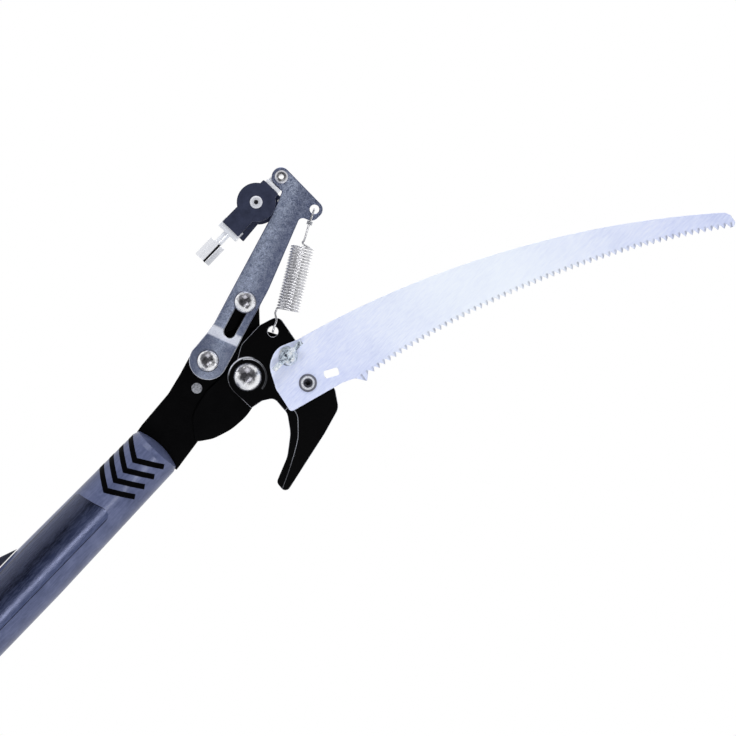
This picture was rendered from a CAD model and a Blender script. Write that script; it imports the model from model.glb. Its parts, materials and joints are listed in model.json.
import json
import math

import bpy
from mathutils import Matrix, Vector


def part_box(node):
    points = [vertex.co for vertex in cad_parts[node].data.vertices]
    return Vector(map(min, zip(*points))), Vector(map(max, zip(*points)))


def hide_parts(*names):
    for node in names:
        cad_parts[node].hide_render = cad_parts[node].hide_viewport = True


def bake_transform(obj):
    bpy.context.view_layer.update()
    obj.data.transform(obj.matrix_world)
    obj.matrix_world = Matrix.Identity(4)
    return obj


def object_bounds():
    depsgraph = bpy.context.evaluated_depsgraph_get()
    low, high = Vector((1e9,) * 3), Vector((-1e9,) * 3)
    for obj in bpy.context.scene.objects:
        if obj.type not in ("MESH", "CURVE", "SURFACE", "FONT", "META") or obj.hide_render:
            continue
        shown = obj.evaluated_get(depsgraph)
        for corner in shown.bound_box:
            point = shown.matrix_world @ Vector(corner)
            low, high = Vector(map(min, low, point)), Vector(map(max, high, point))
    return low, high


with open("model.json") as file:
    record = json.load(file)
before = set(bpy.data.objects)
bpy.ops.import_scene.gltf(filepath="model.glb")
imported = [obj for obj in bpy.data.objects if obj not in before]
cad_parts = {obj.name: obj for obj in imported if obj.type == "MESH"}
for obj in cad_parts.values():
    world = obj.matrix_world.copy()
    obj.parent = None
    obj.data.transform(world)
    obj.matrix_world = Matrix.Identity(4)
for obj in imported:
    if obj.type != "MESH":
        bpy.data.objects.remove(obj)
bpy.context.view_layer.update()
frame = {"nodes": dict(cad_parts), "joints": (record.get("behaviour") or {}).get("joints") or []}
nodes = frame["nodes"]
scene = bpy.context.scene
scene.view_settings.view_transform = "Standard"

# places on the tool, in metres
MOUTH = 0.6708                         # height of the socket's mouth
joint_at = {j["name"]: Vector(j["pos_m"]) for j in frame["joints"] if "pos_m" in j}
PIVOT = joint_at["blade_close"]
PULLEY_X = joint_at["sheave_spin"].x

# camera at the photograph's angle: it looks along +Y and is rolled about 44 degrees
CAMERA_RIGHT = Vector((0.72, 0, 0.694))
CAMERA_UP = Vector((-0.694, 0, 0.72))
CAMERA_BACK = Vector((0, -1, 0))
CAMERA_AT = Vector((0.0584, -1.3, MOUTH + 0.1253))
SENSOR_MM = 36.0
LENS_MM = 103.9

lens = bpy.data.cameras.new("camera")
lens.sensor_width = SENSOR_MM
lens.lens = LENS_MM
lens.clip_start = 0.01
camera = bpy.data.objects.new("camera", lens)
scene.collection.objects.link(camera)
turned = Matrix((CAMERA_RIGHT.normalized(), CAMERA_UP.normalized(), CAMERA_BACK)).transposed()
camera.matrix_world = Matrix.Translation(CAMERA_AT) @ turned.to_4x4()
scene.camera = camera


def lin(r, g, b):
    """Linear colour of an sRGB colour from 0 to 255."""
    out = []
    for c in (r, g, b):
        c /= 255.0
        out.append(c / 12.92 if c <= 0.04045 else ((c + 0.055) / 1.055) ** 2.4)
    return (*out, 1.0)


# noise stays between these two values nearly everywhere
NOISE_LOW, NOISE_HIGH = 0.3, 0.7


class Tree:
    """Short ways to add and link the nodes of one node tree."""

    def __init__(self, tree):
        self.tree = tree

    def put(self, socket, value):
        """Links an output to a socket, or sets the socket to a plain value."""
        if hasattr(value, "is_output"):
            self.tree.links.new(value, socket)
        else:
            socket.default_value = value

    def new(self, kind, **inputs):
        n = self.tree.nodes.new(kind)
        for key, value in inputs.items():
            self.put(n.inputs[key.replace("_", " ")], value)
        return n

    def of_type(self, kind):
        return next(n for n in self.tree.nodes if n.type == kind)

    def math(self, operation, a, b=0.0):
        n = self.new("ShaderNodeMath")
        n.operation = operation
        self.put(n.inputs[0], a)
        self.put(n.inputs[1], b)
        return n.outputs[0]

    def add(self, a, b):
        return self.math("ADD", a, b)

    def less(self, a, b):
        return self.math("SUBTRACT", a, b)

    def times(self, a, b):
        return self.math("MULTIPLY", a, b)

    def larger(self, a, b):
        return self.math("MAXIMUM", a, b)

    def span(self, value, low, high, to_low, to_high):
        """Takes the range low to high over to another range, held at its ends."""
        n = self.new("ShaderNodeMapRange", Value=value)
        n.inputs["From Min"].default_value = low
        n.inputs["From Max"].default_value = high
        n.inputs["To Min"].default_value = to_low
        n.inputs["To Max"].default_value = to_high
        return n.outputs["Result"]

    def band(self, value, rise, fall):
        """1 between two edges and 0 outside; rise and fall are where each edge starts and ends."""
        return self.times(self.span(value, *rise, 0.0, 1.0), self.span(value, *fall, 1.0, 0.0))

    def blend_shaders(self, amount, a, b):
        n = self.new("ShaderNodeMixShader", Fac=amount)
        self.put(n.inputs[1], a)
        self.put(n.inputs[2], b)
        return n.outputs[0]


class Surface(Tree):
    """One material, built around its Principled shader, in the object's own coordinates."""

    def __init__(self, name):
        self.material = bpy.data.materials.new(name)
        self.material.use_nodes = True
        super().__init__(self.material.node_tree)
        self.shader = self.of_type("BSDF_PRINCIPLED")
        self.place = self.new("ShaderNodeTexCoord").outputs["Object"]
        split = self.new("ShaderNodeSeparateXYZ", Vector=self.place)
        self.x = split.outputs["X"]
        self.z = split.outputs["Z"]

    def stretched(self, sx, sy, sz, turn=0.0):
        n = self.new("ShaderNodeMapping", Vector=self.place)
        n.inputs["Rotation"].default_value = (0, turn, 0)
        n.inputs["Scale"].default_value = (sx, sy, sz)
        return n.outputs["Vector"]

    def noise(self, scale, detail=4.0, rough=0.55, vector=None):
        place = vector or self.place
        n = self.new("ShaderNodeTexNoise", Vector=place, Scale=scale, Detail=detail, Roughness=rough)
        return n.outputs["Fac"]

    def weighed(self, a, b, share):
        """Sum of two noises, with this share of the first."""
        return self.add(self.times(a, share), self.times(b, 1 - share))

    def ramp(self, value, stops):
        n = self.new("ShaderNodeValToRGB", Fac=value)
        elements = n.color_ramp.elements
        while len(elements) < len(stops):
            elements.new(0.5)
        for element, (position, colour) in zip(elements, stops):
            element.position = position
            element.color = colour
        return n.outputs["Color"]

    def between(self, grain, dark, light):
        return self.ramp(grain, [(NOISE_LOW, dark), (NOISE_HIGH, light)])

    def vary(self, grain, low, high):
        return self.span(grain, NOISE_LOW, NOISE_HIGH, low, high)

    def mix(self, amount, a, b):
        n = self.new("ShaderNodeMix")
        n.data_type = "RGBA"
        factor, first, second = n.inputs[0], n.inputs[6], n.inputs[7]
        self.put(factor, amount)
        self.put(first, a)
        self.put(second, b)
        return n.outputs[2]

    def along(self, x, z, dir_x, dir_z):
        """Distance from a point, measured along a direction in the plane of the plates."""
        dx = self.less(self.x, x)
        dz = self.less(self.z, z)
        return self.add(self.times(dx, dir_x), self.times(dz, dir_z))

    def length(self, a, b):
        return self.math("SQRT", self.add(self.times(a, a), self.times(b, b)))

    def radius(self, x, z):
        """Distance from a line along Y."""
        return self.length(self.less(self.x, x), self.less(self.z, z))

    def done(self, colour, grain, rough, bump, **inputs):
        """Sets the colour, and the roughness and bump that follow the grain, and gives the material."""
        strength, depth = bump
        self.put(self.shader.inputs["Base Color"], colour)
        self.put(self.shader.inputs["Roughness"], self.vary(grain, *rough))
        n = self.new("ShaderNodeBump", Height=grain, Strength=strength, Distance=depth)
        self.put(self.shader.inputs["Normal"], n.outputs["Normal"])
        for key, value in inputs.items():
            self.put(self.shader.inputs[key.replace("_", " ")], value)
        return self.material


# materials

def speckled(name, dark, light, metallic, rough, sizes, bump, coat=0.0, gloss=0.5, share=0.6):
    """A surface whose colour wanders between two values at two sizes of noise, big and fine."""
    s = Surface(name)
    big = s.noise(sizes[0])
    fine = s.noise(sizes[1], 6.0)
    colour = s.ramp(s.weighed(big, fine, share), [(0.35, dark), (0.65, light)])
    return s.done(colour, fine, rough, bump, Metallic=metallic, Coat_Weight=coat, Coat_Roughness=0.08,
                  Specular_IOR_Level=gloss)


def wing_zinc():
    """Bright cast zinc with a few dark casting marks."""
    s = Surface("wing_zinc")
    big = s.noise(260, 3.0)
    fine = s.noise(900, 6.0)
    colour = s.ramp(s.weighed(big, fine, 0.75),
                    [(0.38, lin(54, 62, 76)), (0.47, lin(200, 212, 224)), (0.6, lin(250, 252, 255))])
    return s.done(colour, fine, (0.2, 0.34), (0.2, 0.0001), Metallic=0.2)


# the lever's bend: a point on its lower edge, its length and the directions along and across the lever
BEND_X, BEND_Z = -0.0177, MOUTH + 0.0764
BEND_LEN = 0.0055
ALONG_LEVER = (-0.3355, 0.942)
ACROSS_LEVER = (0.942, 0.3355)
PALE_TO, DARK_FROM = 0.0015, 0.009     # distances off the middle line between which the lever darkens
FOOT_FROM, FOOT_TO = -0.004, 0.001     # stretch along the lever where the darker foot ends
RUB_FADE = 0.0012                      # softness of the rubbed band's two ends
RIM_BRIGHT, RIM_DULL = MOUTH + 0.08, MOUTH + 0.1


def zinc_lever():
    """Dull grained zinc, darker towards its sides, rubbed bright across the bend."""
    s = Surface("zinc_lever")
    big = s.noise(320)
    fine = s.noise(1500, 6.0)
    body = s.ramp(s.weighed(big, fine, 0.35), [(0.36, lin(126, 138, 174)), (0.64, lin(220, 231, 255))])
    along = s.along(BEND_X, BEND_Z, *ALONG_LEVER)
    off_middle = s.math("ABSOLUTE", s.along(BEND_X, BEND_Z, *ACROSS_LEVER))
    body = s.mix(s.span(off_middle, PALE_TO, DARK_FROM, 0.0, 0.6), body, lin(84, 92, 128))
    foot = s.span(along, FOOT_FROM, FOOT_TO, 0.2, 0.0)
    body = s.mix(foot, body, lin(66, 72, 96))
    off_bend = s.math("ABSOLUTE", s.less(along, BEND_LEN / 2))
    rubbed = s.times(s.span(off_bend, BEND_LEN / 2, BEND_LEN / 2 + RUB_FADE, 1.0, 0.0),
                     s.span(fine, 0.25, 0.6, 0.6, 1.0))
    colour = s.mix(rubbed, body, lin(238, 241, 250))
    metallic = s.less(0.9, s.times(rubbed, 0.5))
    return s.done(colour, fine, (0.3, 0.44), (0.25, 0.00006), Metallic=metallic)


def zinc_rim():
    """Edge of the lever: rubbed bright up to the bend, dull further up."""
    s = Surface("zinc_edge")
    grain = s.noise(2200, 6.0)
    low = s.span(s.z, RIM_BRIGHT, RIM_DULL, 1.0, 0.0)
    dull = s.between(grain, lin(58, 64, 92), lin(96, 102, 132))
    bright = s.between(grain, lin(200, 204, 220), lin(234, 237, 245))
    return s.done(s.mix(low, dull, bright), grain, (0.2, 0.32), (0.1, 0.00004), Metallic=0.7)


# the hook plate round the pivot: the direction of its worn side, and distances from the pivot
WORN_SIDE = (-0.98, 0.2)
WORN_RISE, WORN_FALL = (0.0112, 0.0117), (0.0122, 0.0125)
WORN_FROM, WORN_FULL = 0.007, 0.011
GROOVE_IN, GROOVE_OUT = 0.0135, 0.0145
FAR_SIDE, NEAR_SIDE = -0.002, 0.006
HOOK_DULL, HOOK_RUBBED = MOUTH + 0.048, MOUTH + 0.058     # heights between which its edge gets bright


def hook_black():
    """Black coat, worn through on the round of the plate beside the pivot."""
    s = Surface("hook_black")
    big = s.noise(90)
    fine = s.noise(2600, 6.0)
    coat = s.ramp(fine, [(0.35, lin(0, 0, 1)), (0.65, lin(3, 3, 4))])
    ring = s.band(s.radius(PIVOT.x, PIVOT.z), WORN_RISE, WORN_FALL)
    side = s.span(s.along(PIVOT.x, PIVOT.z, *WORN_SIDE), WORN_FROM, WORN_FULL, 0.0, 1.0)
    wear = s.times(s.times(ring, side), s.span(big, 0.3, 0.55, 0.35, 1.0))
    colour = s.mix(wear, coat, lin(226, 228, 236))
    return s.done(colour, fine, (0.34, 0.5), (0.12, 0.00004), Specular_IOR_Level=0.05)


def hook_rim():
    """Edge of the hook plate, rubbed to bare metal, less so on the groove's far side and down the hook."""
    s = Surface("black_edge")
    grain = s.noise(1600, 6.0)
    near = s.span(s.radius(PIVOT.x, PIVOT.z), GROOVE_IN, GROOVE_OUT, 1.0, 0.0)
    far_side = s.span(s.along(PIVOT.x, PIVOT.z, *WORN_SIDE), FAR_SIDE, NEAR_SIDE, 0.8, 0.0)
    down = s.span(s.z, HOOK_DULL, HOOK_RUBBED, 0.35, 1.0)
    rubbed = s.times(s.less(1.0, s.times(near, far_side)), down)
    bare = s.between(grain, lin(150, 152, 160), lin(214, 216, 224))
    return s.done(s.mix(rubbed, lin(6, 6, 8), bare), grain, (0.25, 0.4), (0.2, 0.00005), Metallic=0.4)


def middle_of(node):
    """Place across the plates of the middle of a node."""
    low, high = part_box(node)
    return (low[0] + high[0]) / 2, (low[2] + high[2]) / 2


# bolt heads: shares of the head's radius
CROWN_X, CROWN_Z = -0.12, 0.1          # middle of the dull crown
CROWN_IN, CROWN_OUT = 0.54, 0.72
CROWN_WOBBLE = 0.2
RIM_IN, RIM_OUT = 0.9, 0.97


def bolt_head(name, x, z, radius):
    """Plated round head: dull smudged crown a little off its middle, polished ring, grey rim."""
    s = Surface(name)
    big = s.noise(300, 3.0)
    fine = s.noise(700, 5.0)
    from_crown = s.math("DIVIDE", s.radius(x + CROWN_X * radius, z + CROWN_Z * radius), radius)
    from_crown = s.add(from_crown, s.vary(big, -CROWN_WOBBLE, CROWN_WOBBLE))
    dull = s.between(fine, lin(98, 97, 103), lin(136, 136, 142))
    polished = s.between(fine, lin(240, 241, 245), lin(253, 253, 255))
    face = s.mix(s.span(from_crown, CROWN_IN, CROWN_OUT, 0.0, 1.0), dull, polished)
    rim = s.span(s.radius(x, z), RIM_IN * radius, RIM_OUT * radius, 0.0, 1.0)
    colour = s.mix(rim, face, lin(120, 121, 130))
    return s.done(colour, fine, (0.18, 0.36), (0.05, 0.00008), Metallic=0.9)


# softness of the two edges of a ring
HOLE_FADE, RIM_FADE = 0.0003, 0.0004


def ringed(name, node, hole, rim):
    """Bright ring with a dark sunk centre and a grey rim; hole and rim are radii."""
    s = Surface(name)
    grain = s.noise(1500, 6.0)
    r = s.radius(*middle_of(node))
    sunk = s.between(grain, lin(46, 46, 54), lin(92, 93, 104))
    ring = s.between(grain, lin(206, 208, 216), lin(240, 242, 248))
    lit = s.mix(s.span(r, rim, rim + RIM_FADE, 0.0, 1.0), ring, lin(104, 106, 118))
    colour = s.mix(s.span(r, hole, hole + HOLE_FADE, 0.0, 1.0), sunk, lit)
    return s.done(colour, grain, (0.24, 0.38), (0.12, 0.00005), Metallic=0.4)


# the ferrule's dark seam, as distances off the ferrule's axis
SEAM_RISE, SEAM_FALL = (0.0011, 0.0014), (0.0026, 0.0028)
SEAM_WOBBLE = 0.00004


def ferrule_bright():
    """Bright plated hexagon with a dark seam beside one edge."""
    s = Surface("ferrule_bright")
    grain = s.noise(1400, 6.0)
    off_axis = s.add(s.less(s.x, PULLEY_X), s.vary(grain, -SEAM_WOBBLE, SEAM_WOBBLE))
    seam = s.band(off_axis, SEAM_RISE, SEAM_FALL)
    body = s.between(grain, lin(236, 238, 243), lin(252, 252, 254))
    return s.done(s.mix(seam, body, lin(22, 22, 26)), grain, (0.2, 0.32), (0.1, 0.00005), Metallic=0.2)


def socket_paint():
    """Blue-grey lacquer over a cloudy ground, with fine flow marks along the pole."""
    s = Surface("socket_paint")
    cloud = s.noise(60, 6.0, 0.65)
    flow = s.noise(1.0, 4.0, 0.6, s.stretched(900, 900, 160))
    colour = s.ramp(s.weighed(cloud, flow, 0.6),
                    [(0.32, lin(66, 74, 105)), (0.52, lin(90, 98, 131)), (0.7, lin(112, 119, 152))])
    return s.done(colour, flow, (0.3, 0.46), (0.1, 0.00005), Metallic=0.1, Coat_Weight=0.12,
                  Coat_Roughness=0.1, Specular_IOR_Level=0.3)


# the gloss panel: its sides, and the slope, height and corner of its upper edge
PANEL_LEFT, PANEL_RIGHT = -0.0162, 0.0085
PANEL_SLOPE, PANEL_COS = 0.3036, 0.957
CORNER_X, CORNER_Z = 0.0035, MOUTH - 0.0523
CORNER_R = 0.0044
JOINT_IN, JOINT_OUT = 0.001, 0.0005    # distances from the left side between which the joint gets dark
JOINT_FADE = 0.0003


def panel_gloss():
    """Dark lacquered panel, paler towards its sides, with a darker joint along its rim."""
    s = Surface("panel_gloss")
    cloud = s.noise(40, 5.0, 0.6)
    flow = s.noise(1.0, 4.0, 0.6, s.stretched(900, 900, 150))
    across = s.add(s.span(s.x, PANEL_LEFT, PANEL_RIGHT, 0.0, 1.0), s.vary(cloud, -0.06, 0.06))
    tone = s.ramp(across, [(0.0, lin(44, 52, 78)), (0.2, lin(15, 20, 38)), (0.45, lin(9, 13, 28)),
                           (0.7, lin(34, 42, 69)), (0.95, lin(66, 75, 107))])
    body = s.mix(s.span(s.weighed(cloud, flow, 0.5), 0.4, 0.7, 0.0, 0.25), tone, lin(96, 104, 134))
    left = s.span(s.x, PANEL_LEFT + JOINT_OUT, PANEL_LEFT + JOINT_IN, 1.0, 0.0)
    tilted = s.less(s.z, s.times(s.x, PANEL_SLOPE))
    up = s.larger(s.times(s.less(tilted, CORNER_Z), PANEL_COS), 0.0)
    out = s.larger(s.less(s.x, CORNER_X), 0.0)
    joint = s.larger(left, s.span(s.length(up, out), CORNER_R, CORNER_R + JOINT_FADE, 0.0, 1.0))
    return s.done(s.mix(joint, body, lin(16, 18, 30)), flow, (0.18, 0.36), (0.3, 0.00015), Metallic=0.0,
                  Coat_Weight=0.1, Coat_Roughness=0.2, Specular_IOR_Level=0.75,
                  Specular_Tint=(0.6, 0.66, 1.0, 1.0))


# toothed edge of the saw: three points on its arc, x and height above the mouth
SAW_EDGE = [Vector((0.1585, 0.3405)), Vector((0.093, 0.225)), Vector((0.062, 0.123))]
TOOTH_PITCH = 0.004
TOOTH_DEPTH = 0.0029
FIRST_TOOTH = 0.12                     # where the first tooth starts, as a share of the pitch
FLANK_FULL, FLANK_END = 0.16, 0.42     # shares of the pitch between which the ground flank fades
FLANK_FADE = 0.0008
POLISHED_AT = MOUTH + 0.212            # height of the brightest polish
POLISH_FULL, POLISH_END = 0.02, 0.1    # heights off it between which the polish fades
GRAIN_TURN = math.radians(28)


def circle_through(a, b, c):
    """Centre of the circle through three points."""
    d = 2 * (a.x * (b.y - c.y) + b.x * (c.y - a.y) + c.x * (a.y - b.y))
    aa, bb, cc = a.length_squared, b.length_squared, c.length_squared
    x = aa * (b.y - c.y) + bb * (c.y - a.y) + cc * (a.y - b.y)
    y = aa * (c.x - b.x) + bb * (a.x - c.x) + cc * (b.x - a.x)
    return Vector((x / d, y / d))


def ground_flanks(s):
    """One ground flank on each tooth of the saw: 1 on the flank, 0 elsewhere."""
    centre = circle_through(*SAW_EDGE)
    first = SAW_EDGE[0] - centre
    last = SAW_EDGE[2] - centre
    turn = math.atan2(last.y, last.x) - math.atan2(first.y, first.x)
    turn = (turn + math.pi) % (2 * math.pi) - math.pi
    teeth = round(abs(turn) * first.length / TOOTH_PITCH)
    dx = s.less(centre.x, s.x)
    dz = s.less(MOUTH + centre.y, s.z)
    angle = s.less(s.math("ARCTAN2", dz, dx), math.atan2(-first.y, -first.x))
    phase = s.math("FRACT", s.add(s.times(angle, teeth / turn), FIRST_TOOTH + teeth))
    depth = s.less(s.radius(centre.x, MOUTH + centre.y), first.length)
    return s.times(s.span(depth, TOOTH_DEPTH, TOOTH_DEPTH + FLANK_FADE, 1.0, 0.0),
                   s.span(phase, FLANK_FULL, FLANK_END, 1.0, 0.0))


def saw_steel():
    """Pale steel ground across the blade, polished brightest half way along."""
    s = Surface("saw_steel")
    grain = s.noise(1.0, 5.0, 0.65, s.stretched(2600, 200, 240, GRAIN_TURN))
    cloud = s.noise(26, 4.0)
    body = s.ramp(s.weighed(grain, cloud, 0.55),
                  [(0.3, lin(190, 199, 236)), (0.5, lin(218, 225, 250)), (0.7, lin(242, 245, 255))])
    off = s.math("ABSOLUTE", s.less(s.z, POLISHED_AT))
    polish = s.times(s.span(off, POLISH_FULL, POLISH_END, 0.9, 0.0), s.vary(grain, 0.75, 1.0))
    body = s.mix(polish, body, lin(243, 249, 255))
    flanks = s.times(ground_flanks(s), s.span(s.noise(260), 0.3, 0.65, 0.25, 0.8))
    colour = s.mix(flanks, body, lin(134, 137, 150))
    return s.done(colour, grain, (0.3, 0.46), (0.1, 0.00005), Metallic=0.1)


def tube_alu():
    """Drawn aluminium with fine rings round the tube."""
    s = Surface("tube_alu")
    ring = s.noise(1.0, 4.0, 0.6, s.stretched(60, 60, 2200))
    cloud = s.noise(22, 4.0)
    colour = s.between(s.weighed(ring, cloud, 0.5), lin(168, 171, 178), lin(206, 208, 214))
    return s.done(colour, ring, (0.3, 0.44), (0.08, 0.00004), Metallic=0.9)


# radii of the bolt heads
PIVOT_HEAD = 0.0085
SMALL_HEAD = 0.00675

black = speckled("black_plate", lin(0, 0, 1), lin(3, 3, 4), metallic=0.0,
                 rough=(0.34, 0.5), sizes=(90, 2600), bump=(0.12, 0.00004), gloss=0.05)
cheek = speckled("cheek_coat", lin(30, 36, 58), lin(48, 54, 78), metallic=0.1,
                 rough=(0.4, 0.55), sizes=(200, 2400), bump=(0.2, 0.00005), coat=0.05, gloss=0.3)
chrome = speckled("bolt_chrome", lin(176, 176, 182), lin(238, 239, 244), metallic=1.0,
                  rough=(0.2, 0.42), sizes=(240, 520), bump=(0.15, 0.0001))
bright = speckled("bright_plate", lin(232, 235, 242), lin(248, 249, 252), metallic=0.2,
                  rough=(0.2, 0.32), sizes=(150, 1400), bump=(0.1, 0.00005))
steel = speckled("plain_steel", lin(140, 142, 148), lin(186, 188, 194), metallic=0.9,
                 rough=(0.28, 0.42), sizes=(200, 2000), bump=(0.15, 0.00005))
rivet = speckled("rivet_steel", lin(58, 58, 64), lin(196, 198, 206), metallic=0.3,
                 rough=(0.36, 0.5), sizes=(500, 1100), bump=(0.3, 0.0001), share=0.4)
nylon = speckled("sheave_nylon", lin(206, 206, 200), lin(230, 230, 226), metallic=0.0,
                 rough=(0.42, 0.55), sizes=(120, 1600), bump=(0.1, 0.00006))
moulded = speckled("dark_moulding", lin(24, 28, 44), lin(34, 38, 56), metallic=0.0,
                   rough=(0.4, 0.55), sizes=(120, 3200), bump=(0.2, 0.00005), gloss=0.3)
rubber = speckled("grip_rubber", lin(20, 20, 22), lin(34, 34, 37), metallic=0.0,
                  rough=(0.62, 0.8), sizes=(80, 2400), bump=(0.5, 0.00012))
chevron = speckled("chevron_black", lin(1, 1, 2), lin(5, 5, 7), metallic=0.0,
                   rough=(0.5, 0.65), sizes=(160, 2600), bump=(0.1, 0.00003), gloss=0.02)
spring_steel = speckled("spring_steel", lin(186, 186, 189), lin(226, 226, 230), metallic=0.9,
                        rough=(0.2, 0.32), sizes=(300, 1800), bump=(0.1, 0.00004))
alu = tube_alu()
wing = wing_zinc()

# nodes that aren't named here are plain steel
finish = {
    "socket": socket_paint(), "gloss_panel": panel_gloss(), "chevron_inlays": chevron,
    "back_plate": black, "cutting_blade": black, "hook_plate": hook_black(), "tang_rivet": rivet,
    "pivot_bolt": bolt_head("pivot_chrome", PIVOT.x, PIVOT.z, PIVOT_HEAD),
    "lever_bolt": bolt_head("lever_chrome", *middle_of("lever_bolt"), SMALL_HEAD),
    "slot_bolt": bolt_head("slot_chrome", *middle_of("slot_bolt"), SMALL_HEAD),
    "pull_lever": zinc_lever(), "saw_blade": saw_steel(), "wing_nut": wing, "saw_stud": wing,
    "saw_pin": ringed("pin_chrome", "saw_pin", 0.0027, 0.004),
    "front_cheek": cheek, "rear_cheek": cheek, "cheek_rivets": cheek, "sheave": nylon,
    "sheave_axle": ringed("axle_chrome", "sheave_axle", 0.0012, 0.0042),
    "pulley_yoke": bright, "yoke_pin": chrome, "becket_block": bright, "becket_stud": bright,
    "rope_ferrule": ferrule_bright(), "upper_tube": alu, "lower_tube": alu, "hand_grip": rubber,
    "cam_lever": moulded, "lock_collar": moulded, "end_cap": moulded, "guide_bush": moulded,
    "tube_glide": moulded,
}

# width of the rounding on the edges of a node, and the second material of a rounding that is worn
edge_width = {
    "pull_lever": 0.0004, "hook_plate": 0.00019, "back_plate": 0.0003, "cutting_blade": 0.0003,
    "saw_blade": 0.00015, "pulley_yoke": 0.0004, "becket_block": 0.0003, "rope_ferrule": 0.0003,
    "cam_lever": 0.0006, "lock_collar": 0.0006, "end_cap": 0.0006, "tang_rivet": 0.0003,
    "pivot_nut": 0.0003, "lever_nut": 0.0003, "slot_collar": 0.0003, "saw_stud": 0.0002,
}
worn_edge = {"pull_lever": zinc_rim(), "hook_plate": hook_rim()}
WELD_DISTANCE = 0.000002
FLAT_ANGLE = math.radians(0.5)
SHARP_ANGLE = math.radians(40)


def round_edges(obj, width, material):
    """Joins the triangles of each flat face, then rounds the edges between the faces."""
    obj.modifiers.new("weld", "WELD").merge_threshold = WELD_DISTANCE
    flat = obj.modifiers.new("flat", "DECIMATE")
    flat.decimate_type = "DISSOLVE"
    flat.angle_limit = FLAT_ANGLE
    bevel = obj.modifiers.new("edge", "BEVEL")
    bevel.width = width
    bevel.segments = 2
    bevel.limit_method = "ANGLE"
    bevel.angle_limit = SHARP_ANGLE
    bevel.material = material
    bevel.use_clamp_overlap = False
    obj.modifiers.new("normals", "WEIGHTED_NORMAL").keep_sharp = True


for name, obj in nodes.items():
    obj.data.materials.clear()
    obj.data.materials.append(finish.get(name, steel))
    if name in worn_edge:
        obj.data.materials.append(worn_edge[name])
    if name in edge_width:
        round_edges(obj, edge_width[name], 1 if name in worn_edge else -1)

# return spring, drawn as a round wire on the same route as its solid: x, y and height above the mouth
LOW_HOLE = Vector((0.0012, 0, 0.1011))
TOP_HOLE = Vector((-0.032, 0, 0.1722))
SPRING_Y = -0.0081                     # plane of the spring
HOOK_FRONT, HOOK_BACK = -0.00625, -0.00175
ARM_FRONT, ARM_BACK = -0.0096, -0.0066
WIRE_R = 0.00065
HELIX_R = 0.00655
COIL_FROM = 0.015                      # run of the lower end wire
COIL_LEN = 0.0395
TURNS = 22.5
LOW_SHIFT, TOP_SHIFT = 0.0044, 0.0006  # how far the coil's ends lie beside the line of the holes
EYE_GAP = 0.0005                       # between the wire and the lever's front
POINTS_PER_TURN = 20

Y_AXIS = Vector((0, 1, 0))
lift = Vector((0, 0, MOUTH))
axis = (TOP_HOLE - LOW_HOLE).normalized()
beside = Vector((axis.z, 0, -axis.x))
span_len = (TOP_HOLE - LOW_HOLE).length
before_lever = Y_AXIS * (ARM_FRONT - EYE_GAP - WIRE_R - SPRING_Y)


def on_line(d):
    """Point on the line of the holes, in the plane of the spring."""
    return LOW_HOLE + Y_AXIS * SPRING_Y + axis * d


coil_low = on_line(COIL_FROM) + beside * LOW_SHIFT
coil_axis = (on_line(COIL_FROM + COIL_LEN) + beside * TOP_SHIFT - coil_low).normalized()
coil_side = Vector((coil_axis.z, 0, -coil_axis.x))
coil_top = coil_low + coil_axis * COIL_LEN


def helix(turns):
    a = 2 * math.pi * turns
    rise = coil_axis * (COIL_LEN / TURNS * turns)
    return coil_low + rise - HELIX_R * (math.cos(a) * coil_side + math.sin(a) * Y_AXIS)


def over_coil(height, share, degrees):
    """Point above the coil, at a share of its radius."""
    a = math.radians(degrees)
    return coil_top + coil_axis * height + share * HELIX_R * (math.cos(a) * coil_side + math.sin(a) * Y_AXIS)


def on_lead(share):
    """Point on the upper end wire, in front of the lever."""
    coil_end = COIL_FROM + COIL_LEN
    return on_line(coil_end + share * (span_len - coil_end)) + before_lever


def at_low_hole(y, d=0.0):
    return LOW_HOLE + Y_AXIS * y + axis * d


lead_in = [
    at_low_hole(HOOK_BACK + 0.0012), at_low_hole(HOOK_BACK - 0.0006), at_low_hole(HOOK_FRONT),
    at_low_hole(SPRING_Y + 0.0004, 0.0005), on_line(0.003), on_line(0.007),
    helix(0) - axis * 0.0035 + Y_AXIS * 0.0006, helix(0) - axis * 0.0014 + Y_AXIS * 0.0009,
]
lead_out = [
    over_coil(0.0009, 0.86, 40), over_coil(0.0018, 0.6, 80), over_coil(0.003, 0.25, 120),
    coil_top + coil_axis * 0.0046, on_lead(0.54), on_lead(0.71), on_line(span_len - 0.001) + before_lever,
    on_line(span_len) + before_lever + Y_AXIS * 0.0008,
    on_line(span_len) + Y_AXIS * (ARM_BACK - SPRING_Y + 0.0004),
    on_line(span_len) + Y_AXIS * (ARM_BACK - SPRING_Y + 0.0018),
]


def smooth(points, steps=4):
    """Catmull-Rom curve through the points."""
    out = []
    for i in range(len(points) - 1):
        p0 = points[max(i - 1, 0)]
        p1 = points[i]
        p2 = points[i + 1]
        p3 = points[min(i + 2, len(points) - 1)]
        for k in range(steps):
            t = k / steps
            out.append(0.5 * ((2 * p1) + (p2 - p0) * t + (2 * p0 - 5 * p1 + 4 * p2 - p3) * t * t
                              + (3 * p1 - p0 - 3 * p2 + p3) * t ** 3))
    return out + [points[-1]]


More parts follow.
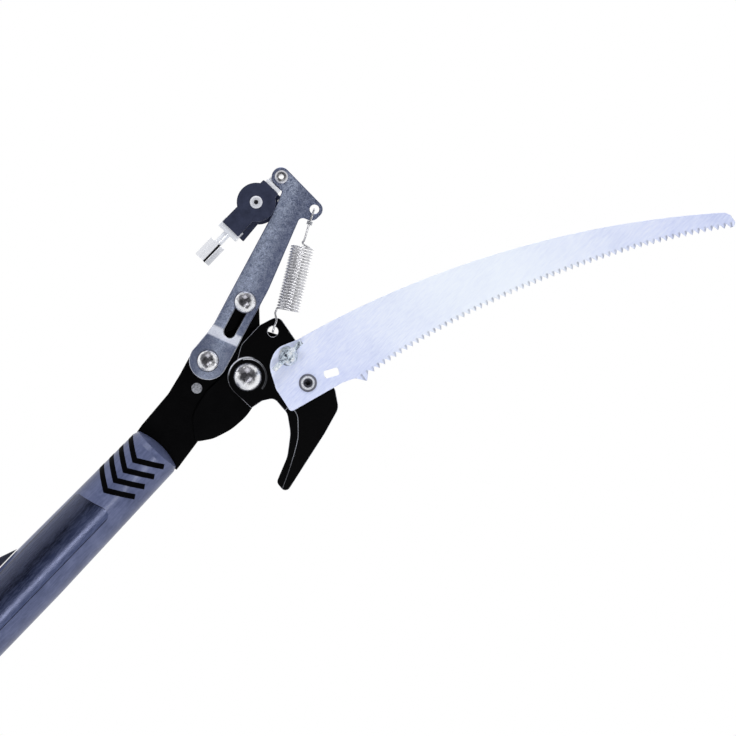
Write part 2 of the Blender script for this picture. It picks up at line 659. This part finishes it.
def tube(name, path, radius, sides=8):
    """Closed round tube along a path."""
    last = len(path) - 1
    verts = []
    u = Vector((1, 0, 0.3))            # any direction that isn't along the start of the path
    for i, p in enumerate(path):
        t = (path[min(i + 1, last)] - path[max(i - 1, 0)]).normalized()
        u = (u - u.dot(t) * t).normalized()
        w = t.cross(u)
        for k in range(sides):
            a = 2 * math.pi * k / sides
            verts.append(p + radius * (math.cos(a) * u + math.sin(a) * w))
    faces = []
    for i in range(last):
        for k in range(sides):
            j = (k + 1) % sides
            faces.append((i * sides + k, i * sides + j, (i + 1) * sides + j, (i + 1) * sides + k))
    faces.append(tuple(reversed(range(sides))))
    faces.append(tuple(last * sides + k for k in range(sides)))
    mesh = bpy.data.meshes.new(name)
    mesh.from_pydata([tuple(v) for v in verts], [], faces)
    mesh.update()
    for face in mesh.polygons:
        face.use_smooth = True
    obj = bpy.data.objects.new(name, mesh)
    scene.collection.objects.link(obj)
    return obj


coil = [helix(i / POINTS_PER_TURN) for i in range(int(POINTS_PER_TURN * TURNS) + 1)]
wire = smooth(lead_in + [helix(0)])[:-1] + coil + smooth([helix(TURNS)] + lead_out)[1:]
spring = tube("spring_wire", [p + lift for p in wire], WIRE_R)
spring.data.materials.append(spring_steel)
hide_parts("return_spring")
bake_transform(spring)

# floor: a pale disc whose rim fades into the white background for the camera
FLOOR_R = 0.8
FLOOR_SIDES = 64
FLOOR_GAP = 0.0005
FADE_FROM, FADE_TO = 0.3, 0.78
FLOOR_DARK, FLOOR_LIGHT = (0.84, 0.84, 0.84, 1), (0.87, 0.87, 0.87, 1)

corners = [2 * math.pi * k / FLOOR_SIDES for k in range(FLOOR_SIDES)]
disc = bpy.data.meshes.new("floor")
disc.from_pydata([(FLOOR_R * math.cos(a), FLOOR_R * math.sin(a), 0) for a in corners], [],
                 [tuple(range(FLOOR_SIDES))])
floor = bpy.data.objects.new("floor", disc)
floor.location = (0, 0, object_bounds()[0][2] - FLOOR_GAP)
scene.collection.objects.link(floor)

paper = Surface("floor_paper")
paper.put(paper.shader.inputs["Base Color"],
          paper.between(paper.noise(6, 3.0), FLOOR_DARK, FLOOR_LIGHT))
paper.put(paper.shader.inputs["Roughness"], 0.9)
from_middle = paper.new("ShaderNodeVectorMath")
from_middle.operation = "LENGTH"
paper.put(from_middle.inputs[0], paper.place)
for_camera = paper.new("ShaderNodeLightPath").outputs["Is Camera Ray"]
fade = paper.times(paper.span(from_middle.outputs["Value"], FADE_FROM, FADE_TO, 0.0, 1.0), for_camera)
white_out = paper.new("ShaderNodeEmission", Color=(1, 1, 1, 1), Strength=1.0).outputs[0]
paper.put(paper.of_type("OUTPUT_MATERIAL").inputs["Surface"],
          paper.blend_shaders(fade, paper.shader.outputs[0], white_out))
disc.materials.append(paper.material)

# world: soft light on the object, and a white background for the camera and for reflections
SKY_COLOUR = (0.92, 0.94, 1.0, 1)
SKY_STRENGTH = 0.5
# reflections see a white room that is dark only in front of the object, where a photographer stands
DARK_Y, LIT_Y = -0.8, -0.3
DARK_LEVEL = 0.05

world = bpy.data.worlds.new("studio")
scene.world = world
world.use_nodes = True
sky = Tree(world.node_tree)
soft = sky.of_type("BACKGROUND")
soft.inputs["Color"].default_value = SKY_COLOUR
soft.inputs["Strength"].default_value = SKY_STRENGTH
direction = sky.new("ShaderNodeTexCoord").outputs["Generated"]
toward = sky.new("ShaderNodeSeparateXYZ", Vector=direction).outputs["Y"]
room = sky.span(toward, DARK_Y, LIT_Y, DARK_LEVEL, 1.0)
room.node.interpolation_type = "SMOOTHSTEP"
ray = sky.new("ShaderNodeLightPath").outputs
white = sky.new("ShaderNodeBackground", Color=sky.larger(room, ray["Is Camera Ray"]), Strength=1.0)
direct = sky.larger(sky.larger(ray["Is Camera Ray"], ray["Is Glossy Ray"]), ray["Is Transmission Ray"])
sky.put(sky.of_type("OUTPUT_WORLD").inputs["Surface"],
        sky.blend_shaders(direct, soft.outputs[0], white.outputs[0]))


def lamp(name, where, aim, wide, tall, watts):
    """Rectangular soft lamp that faces a point."""
    light = bpy.data.lights.new(name, "AREA")
    light.shape = "RECTANGLE"
    light.energy = watts
    light.size = wide
    light.size_y = tall
    obj = bpy.data.objects.new(name, light)
    obj.location = where
    obj.rotation_euler = (Vector(aim) - Vector(where)).to_track_quat("-Z", "Y").to_euler()
    scene.collection.objects.link(obj)


HEAD_MIDDLE = (0.02, 0, MOUTH + 0.1)
SOCKET_MIDDLE = (0, 0, MOUTH - 0.1)
lamp("key", (-1.3, -1.6, MOUTH + 1.3), HEAD_MIDDLE, wide=1.2, tall=1.2, watts=18)
lamp("strip", (0.56, -1.4, MOUTH - 0.2), SOCKET_MIDDLE, wide=0.26, tall=1.2, watts=9)
lamp("back", (-0.4, 1.8, MOUTH + 1.0), HEAD_MIDDLE, wide=1.4, tall=1.4, watts=18)
